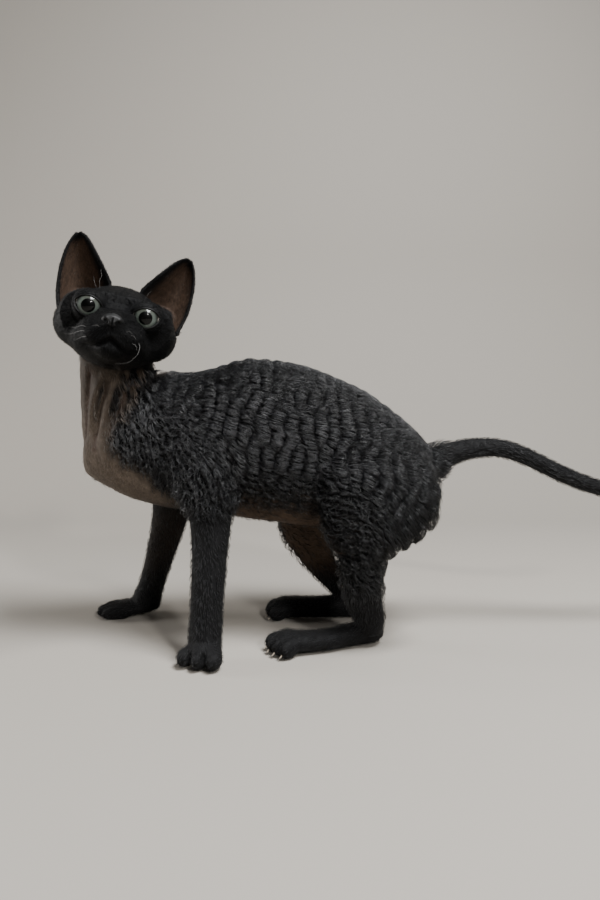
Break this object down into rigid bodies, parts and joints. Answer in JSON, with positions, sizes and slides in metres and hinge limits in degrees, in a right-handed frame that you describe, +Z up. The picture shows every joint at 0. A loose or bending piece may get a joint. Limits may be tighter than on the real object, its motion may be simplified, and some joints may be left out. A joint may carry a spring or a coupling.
{
  "type": "devon rex cat",
  "caption": "Still life-size model of a young black curly-coated cat standing on all fours, head turned to one side, very large ears, hind feet flat and tail held out behind.",
  "frame": {"origin": "on the floor under the middle of the whole cat's box", "axes": "-X the way the cat's chest faces, +X along the tail, -Y the cat's left side, +Z up"},
  "size_m": [0.475, 0.142, 0.2934],
  "materials": {
    "coat": "short curly black coat with a soft grey sheen",
    "ear_skin": "thin skin with very short hair, dark brown inside the cup",
    "eye": "wet, clear cornea over a pale green iris and a round black pupil",
    "nose": "bare black nose and lids, slightly damp",
    "claw": "horn, pale and translucent towards the tips",
    "whisker": "short crinkled hairs, pale grey"
  },
  "bodies": {
    "root": {"head": "coat", "neck": "coat", "chest": "coat", "barrel": "coat", "rump": "coat", "ear_left": "ear_skin", "ear_right": "ear_skin", "eye_left": "eye", "eye_right": "eye", "fore_leg_left": "coat", "fore_leg_right": "coat", "fore_paw_left": "coat", "fore_paw_right": "coat", "thigh_left": "coat", "thigh_right": "coat", "shank_left": "coat", "shank_right": "coat", "hind_foot_left": "coat", "hind_foot_right": "coat", "tail_root": "coat", "tail_middle": "coat", "tail_end": "coat", "tail_tip": "coat"}
  },
  "joints": []
}
